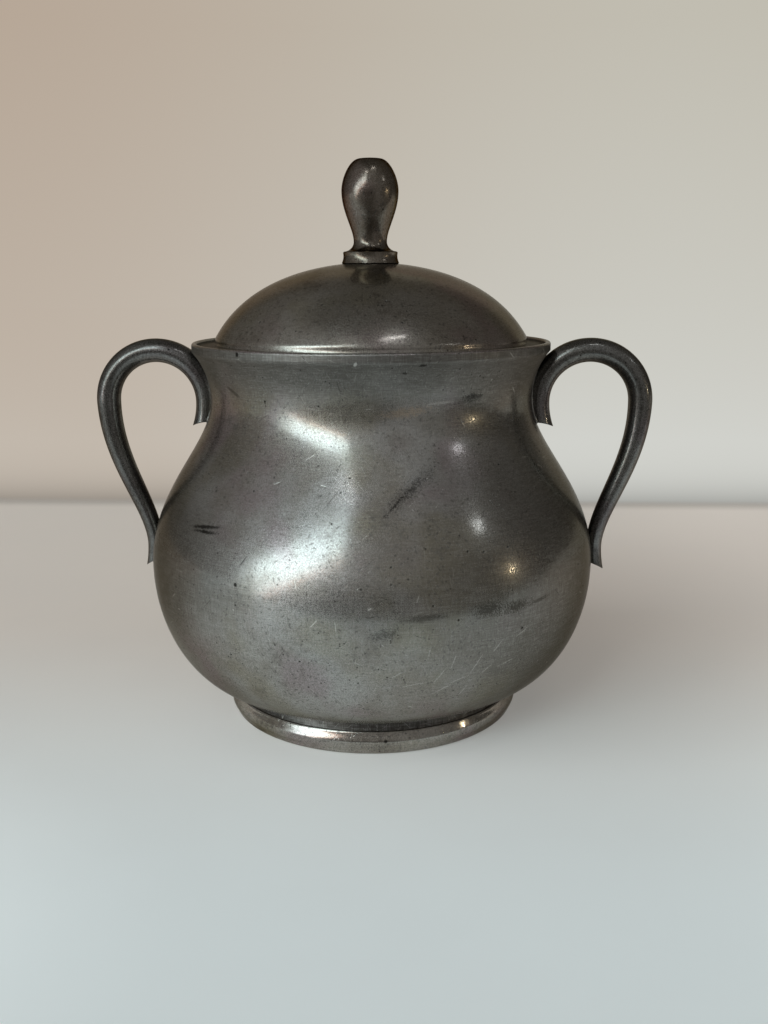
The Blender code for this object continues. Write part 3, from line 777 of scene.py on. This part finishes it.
# Bezel: a strip of sheet rolled to a ring and soldered under the brim. It drops into the neck with a
# little play and keeps the lid from sliding off.
bezel_low, bezel_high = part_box("lid_bezel")
bezel_radius = bezel_high.y
bezel_wall = 0.0012
bezel_lead = 0.0005
bezel_outline = [
    (bezel_radius, lid_low.z),
    (bezel_radius, bezel_low.z + bezel_lead),
    *bezier(
        (bezel_radius, bezel_low.z + bezel_lead),
        (bezel_radius, bezel_low.z),
        (bezel_radius, bezel_low.z),
        (bezel_radius - bezel_lead, bezel_low.z),
        6,
    )[1:],
    (bezel_radius - bezel_wall + bezel_lead / 3, bezel_low.z),
    (bezel_radius - bezel_wall, bezel_low.z + bezel_lead / 3),
    (bezel_radius - bezel_wall, lid_low.z),
]
bezel = turned("lid_collar", bezel_outline, ring=True)
bezel_finish = pewter(
    "bezel_pewter",
    bare=(0.44, 0.43, 0.41, 1.0),
    brown=(0.33, 0.31, 0.28, 1.0),
    stain=(0.18, 0.17, 0.15, 1.0),
    sheen=0.22,
    brushed=0.42,
)
bezel.data.materials.append(bezel_finish)
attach(bezel, "lid")
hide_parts("lid_bezel")

# Knob: a pear-shaped finial cast in pewter and turned, with a hollow-sided flange that sits on the dome.
# Fingers keep it glossy and nearly black.
knob_base = dome_top + lid_gap
flange_radius = 0.0060
flange_height = 0.0020
flange_hollow = 0.0002
flange_spread = 0.0003
flange_edge = 0.0002
cove_height = 0.0021
knob_neck_radius = 0.00364
stem_height = 0.0106
stem_upper_fullness = 0.0044
stem_lower_fullness = 0.0027
bulb_radius = 0.0062
crown_height = 0.0067
crown_fullness = 0.0027
knob_shoulder_fullness = 0.0020
knob_top_radius = 0.0024
knob_top_dome = 0.00015
flange_top = knob_base + flange_height
knob_neck = flange_top + cove_height
bulb_height = knob_neck + stem_height
knob_shoulder = bulb_height + crown_height
flange_low = float(np.interp(flange_radius + flange_spread, [r for r, z in crown], [z for r, z in crown]))
knob_outline = [
    *[
        (s * knob_top_radius, knob_shoulder + knob_top_dome * (1 - s**2))
        for s in np.linspace(0, 1, 4)[:-1]
    ],
    *bezier(
        (knob_top_radius, knob_shoulder),
        (knob_top_radius + knob_shoulder_fullness, knob_shoulder - knob_top_dome),
        (bulb_radius, bulb_height + crown_fullness),
        (bulb_radius, bulb_height),
        30,
    ),
    *bezier(
        (bulb_radius, bulb_height),
        (bulb_radius, bulb_height - stem_upper_fullness),
        (knob_neck_radius, knob_neck + stem_lower_fullness),
        (knob_neck_radius, knob_neck),
        30,
    )[1:],
    *[
        (
            flange_radius - (flange_radius - knob_neck_radius) * math.cos(a),
            knob_neck - cove_height * math.sin(a),
        )
        for a in np.linspace(0, math.pi / 2, 14)[1:-1]
    ],
    (flange_radius - flange_edge, flange_top),
    *[
        (
            flange_radius + flange_spread * s - flange_hollow * math.sin(math.pi * s),
            flange_top - flange_edge + s * (flange_low - flange_top + 2 * flange_edge),
        )
        for s in np.linspace(0, 1, 11)
    ],
    (flange_radius + flange_spread - flange_edge, flange_low),
    (screw_hole, dome_top - lid_gap),
]
knob = turned("turned_knob", knob_outline, turns=128)
knob_finish = pewter(
    "knob_pewter",
    bare=(0.215, 0.187, 0.153, 1.0),
    brown=(0.145, 0.120, 0.094, 1.0),
    stain=(0.070, 0.059, 0.048, 1.0),
    sheen=0.10,
    brushed=0.30,
    lines=0.6,
    wear=0.4,
    grain=0.0,
    glance=(0.20, 0.18, 0.15, 1.0),
)
knob.data.materials.append(knob_finish)
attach(knob, "lid")
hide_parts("knob")

# Screw and washer: a slotted steel screw goes up through the dome into the knob, over a flat washer.
# Both are stock pieces with a dull plating, and show only from inside the lid.
steel = pewter(
    "fixing_steel",
    bare=(0.46, 0.45, 0.43, 1.0),
    brown=(0.36, 0.345, 0.32, 1.0),
    stain=(0.16, 0.14, 0.12, 1.0),
    sheen=0.24,
    brushed=0.42,
    wear=0.5,
    grain=0.4,
)
for name in ("knob_screw", "screw_washer"):
    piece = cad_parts[name]
    piece.data.materials.clear()
    piece.data.materials.append(steel)

# Table: a plain pale top with a rounded front edge, which runs at a slant just in front of the bowl.
# Its far part is toned like the wall behind, with no edge to see, and a painted pool of light glows on its
# left.
table_size = 3.0
table_thickness = 0.030
table_edge_round = 0.006
table_edge_place = -0.175
table_edge_slant = 0.35
table_shape = bmesh.new()
table_corners = [
    (-table_size, table_edge_place - table_edge_slant * table_size),
    (table_size, table_edge_place + table_edge_slant * table_size),
    (table_size, table_size),
    (-table_size, table_size),
]
upper = [table_shape.verts.new((px, py, 0.0)) for px, py in table_corners]
lower = [table_shape.verts.new((px, py, -table_thickness)) for px, py in table_corners]
table_shape.faces.new(upper)
table_shape.faces.new(lower)
for i in range(4):
    table_shape.faces.new((upper[i], upper[i - 1], lower[i - 1], lower[i]))
front_edge = table_shape.edges.get((upper[0], upper[1]))
bmesh.ops.bevel(
    table_shape,
    geom=[front_edge],
    offset=table_edge_round,
    segments=6,
    profile=0.5,
    affect="EDGES",
)
table = show("table", table_shape)
# Painted light: the top is painted paler and bluer at the front than at the back.
front_colour = (0.715, 0.785, 0.80, 1.0)
back_colour = (0.64, 0.59, 0.54, 1.0)
low_left_wall = (0.539, 0.479, 0.412, 1.0)
low_right_wall = (0.634, 0.638, 0.600, 1.0)
high_left_wall = (0.468, 0.381, 0.305, 1.0)
high_right_wall = (0.533, 0.509, 0.440, 1.0)
table_glow = 0.25
# Painted light on the table: a pool of light on its left and a lift on its right.
painted_pool_glow = 0.48
painted_pool_place = (-101.0, -108.0, 0.0)
painted_pool_reach = 82.0
painted_right_glow = 0.17
wall_foot = 223.0
wall_near = 400.0
wall_shadow = 0.38
shadow_reach = 38.0
edge_shade = 0.15
edge_shade_reach = 46.0


def wall_tone(made, across, rise):
    """Colour of the wall behind, with painted light and shade: warm on the left, paler on the right, and
    darker as it rises.
    """
    rightward = made.fade(across, -0.45, 0.25)
    low_wall = made.tint(rightward, low_left_wall, low_right_wall)
    high_wall = made.tint(rightward, high_left_wall, high_right_wall)
    return made.tint(rise, low_wall, high_wall)


table_finish = bpy.data.materials.new("pale_table")
table_finish.use_nodes = True
made = Steps(table_finish.node_tree)
table_top = made.tree.nodes["Principled BSDF"]
x, y, z = made.axes
far_share = made.fade(y, wall_foot - 11.0, wall_foot + 3.0)
across = made.step("SeparateXYZ", {0: made.vector("NORMALIZE", made.place)}).outputs[0]
nearness = made.sum("DIVIDE", wall_near, made.sum("MAXIMUM", y, 1.0))
wall_far = wall_near / (1000 * table_size)
wall_rise = made.step("MapRange", {0: nearness, 1: 1.0, 2: wall_far, 4: 0.45}).outputs[0]
wall_colour = wall_tone(made, across, wall_rise)
# Painted shadow along the foot of the wall, and painted shade towards the front edge of the table.
past_foot = made.sum("MAXIMUM", made.sum("SUBTRACT", y, wall_foot), 0.0)
painted_seam_shadow = made.sum("EXPONENT", made.sum("MULTIPLY", past_foot, -1.0 / shadow_reach))
painted_seam_shadow = made.sum("MULTIPLY", painted_seam_shadow, made.fade(y, wall_foot - 20.0, wall_foot - 2.0))
painted_seam_shadow = made.sum("SUBTRACT", 1.0, made.sum("MULTIPLY", painted_seam_shadow, wall_shadow))
# Painted light: the top is paler and bluer towards the front.
near_colour = made.tint(made.fade(y, 60.0, -105.0), back_colour, front_colour)
mottle = made.fade(made.noise(made.place, 0.02, 3.0), 0.3, 0.7, 0.0, 0.08)
near = made.tint(mottle, near_colour, (0.5, 0.5, 0.5, 1.0))
edge_line = made.sum("ADD", made.sum("MULTIPLY", x, table_edge_slant), 1000 * table_edge_place)
inland = made.sum("SUBTRACT", y, edge_line)
painted_shade_factor = made.sum("MULTIPLY", painted_seam_shadow, made.fade(inland, 0.0, edge_shade_reach, edge_shade, 1.0))
lit = made.vector("SCALE", near, scale=made.sum("MULTIPLY", painted_shade_factor, made.sum("SUBTRACT", 1.0, far_share)))
made.tree.links.new(lit, table_top.inputs["Base Color"])
light_path = made.step("LightPath", {}).outputs
shown = made.sum("ADD", light_path["Is Camera Ray"], light_path["Is Glossy Ray"])
shown = made.sum("ADD", shown, light_path["Is Transmission Ray"])
made.tree.links.new(made.tint(far_share, near_colour, wall_colour), table_top.inputs["Emission Color"])
# Painted light: a pool of light glows on the left of the table and a lift brightens its right.
painted_pool_away = made.vector("LENGTH", made.vector("SUBTRACT", made.place, painted_pool_place))
glow_with_painted_light = made.fade(painted_pool_away, painted_pool_reach, 0.0, table_glow, painted_pool_glow)
glow_with_painted_light = made.sum("ADD", glow_with_painted_light, made.fade(x, 40.0, 150.0, 0.0, painted_right_glow))
glow = made.sum("MULTIPLY", made.sum("MULTIPLY", shown, painted_shade_factor), made.blend(far_share, glow_with_painted_light, 1.0))
made.tree.links.new(glow, table_top.inputs["Emission Strength"])
table_top.inputs["Roughness"].default_value = 0.6
table_top.inputs["Specular IOR Level"].default_value = 0.0
table.data.materials.append(table_finish)

# Room: what the metal mirrors all round. A warm pale wall stands behind, a dim room with a dark ceiling
# in front, and a bright window to the left of the camera throws the slanted highlight, warm at its foot.
camera_turn = math.radians(2.8)
front_left = (0.34, 0.338, 0.33, 1.0)
front_right = (0.13, 0.123, 0.112, 1.0)
ceiling_colour = (0.12, 0.115, 0.105, 1.0)
sky_colour = (3.3, 3.9, 4.0, 1.0)
ground_colour = (2.1, 1.35, 1.1, 1.0)
world = bpy.data.worlds.new("room")
bpy.context.scene.world = world
world.use_nodes = True
made = Steps(world.node_tree)
direction = made.coordinates["Generated"]
x, y, z = made.step("SeparateXYZ", {0: direction}).outputs
bearing = made.sum("ARCTAN2", x, made.sum("MULTIPLY", y, -1.0))
azimuth = made.sum("DEGREES", made.sum("SUBTRACT", bearing, camera_turn))
elevation = made.sum("DEGREES", made.sum("ARCSINE", z))
# Azimuth is in degrees to the right of the camera, elevation in degrees above the table.
room = made.tint(made.fade(azimuth, 0.0, 95.0), front_left, front_right)
room = made.tint(made.fade(azimuth, -72.0, -115.0, 0.0, 0.5), room, front_right)
room = made.tint(made.fade(azimuth, -125.0, -178.0), room, front_right)
low_front = made.sum("MULTIPLY", made.fade(elevation, 14.0, -1.0, 0.0, 0.9), made.fade(azimuth, -55.0, -15.0))
low_front = made.sum("MULTIPLY", low_front, made.fade(azimuth, 32.0, 8.0, 0.1, 1.0))
room = made.tint(low_front, room, ceiling_colour)
room = made.tint(made.fade(elevation, 54.0, 68.0), room, ceiling_colour)
middle = made.step("MapRange", {0: azimuth, 1: -62.0, 2: -17.0, 3: 0.0, 4: 36.5}, clamp=False).outputs[0]
over_middle = made.sum("SUBTRACT", elevation, middle)
window = made.sum("MULTIPLY", made.fade(over_middle, -16.0, -11.0), made.fade(over_middle, 20.0, 10.0))
window = made.sum("MULTIPLY", window, made.fade(azimuth, -14.5, -18.0))
window = made.sum("MULTIPLY", window, made.fade(azimuth, -74.0, -52.0))
window = made.sum("MULTIPLY", window, made.fade(elevation, 50.0, 32.0, 0.35, 1.0))
outside = made.tint(made.fade(over_middle, -16.0, -2.0), ground_colour, sky_colour)
room = made.tint(window, room, outside)
climb = made.step("MapRange", {0: elevation, 1: -13.0, 2: 12.0}).outputs[0]
room = made.tint(made.fade(y, 0.70, 0.86), room, wall_tone(made, x, climb))
made.tree.links.new(room, made.tree.nodes["Background"].inputs[0])

# Lights: a pale lamp high on the right, a small warm one low beside it, and two strips overhead, all seen
# as glints in the metal. The daylight panel stands for the window's light and shows in no mirror.
bowl_middle = Vector((0.0, 0.0, 0.055))


def toward(azimuth, elevation):
    """Direction from the bowl, by degrees to the right of the camera and above the table."""
    a = math.radians(azimuth) + camera_turn
    e = math.radians(elevation)
    return Vector((math.sin(a) * math.cos(e), -math.cos(a) * math.cos(e), math.sin(e)))


def lamp(name, azimuth, elevation, distance, width, height, radiance, colour):
    """A flat soft light that faces the bowl, with its level given as brightness over its face."""
    data = bpy.data.lights.new(name, "AREA")
    data.shape = "RECTANGLE"
    data.size = width
    data.size_y = height
    data.color = colour
    data.energy = radiance * math.pi * width * height
    light = bpy.data.objects.new(name, data)
    bpy.context.scene.collection.objects.link(light)
    light.location = bowl_middle + toward(azimuth, elevation) * distance
    light.rotation_euler = toward(azimuth, elevation).to_track_quat("Z", "Y").to_euler()
    return light


lamp("high_lamp", 64.0, 32.5, 1.2, 0.10, 0.10, 4.6, (0.92, 0.97, 1.0))
lamp("low_lamp", 72.5, 4.5, 1.2, 0.014, 0.014, 420.0, (1.0, 0.84, 0.58))
lamp("left_strip", -20, 52, 1.4, 0.24, 0.03, 10.0, (0.95, 0.98, 1.0))
lamp("right_strip", 26, 62, 1.4, 0.32, 0.03, 10.0, (0.95, 0.98, 1.0))
daylight = lamp("daylight", -62, 26, 3.0, 2.0, 1.0, 5.0, (1.0, 0.98, 0.95))
daylight.visible_glossy = False

# Camera: held by hand a little above the rim, 24 cm away, and looking down at the bowl.
# Its place and lens were fitted to the outlines of the rim, the belly and the foot.
camera_data = bpy.data.cameras.new("camera")
camera_data.sensor_width = 36.0
camera_data.lens = 36.91
camera_data.clip_start = 0.01
camera = bpy.data.objects.new("camera", camera_data)
bpy.context.scene.collection.objects.link(camera)
camera_place = Vector((0.01429, -0.23658, 0.09875))
camera_pitch = 0.2229
camera_roll = 0.0046
camera.matrix_world = (
    Matrix.Translation(camera_place)
    @ Matrix.Rotation(camera_turn, 4, "Z")
    @ Matrix.Rotation(math.pi / 2 - camera_pitch, 4, "X")
    @ Matrix.Rotation(-camera_roll, 4, "Z")
)
bpy.context.scene.camera = camera
bpy.context.scene.view_settings.view_transform = "Standard"
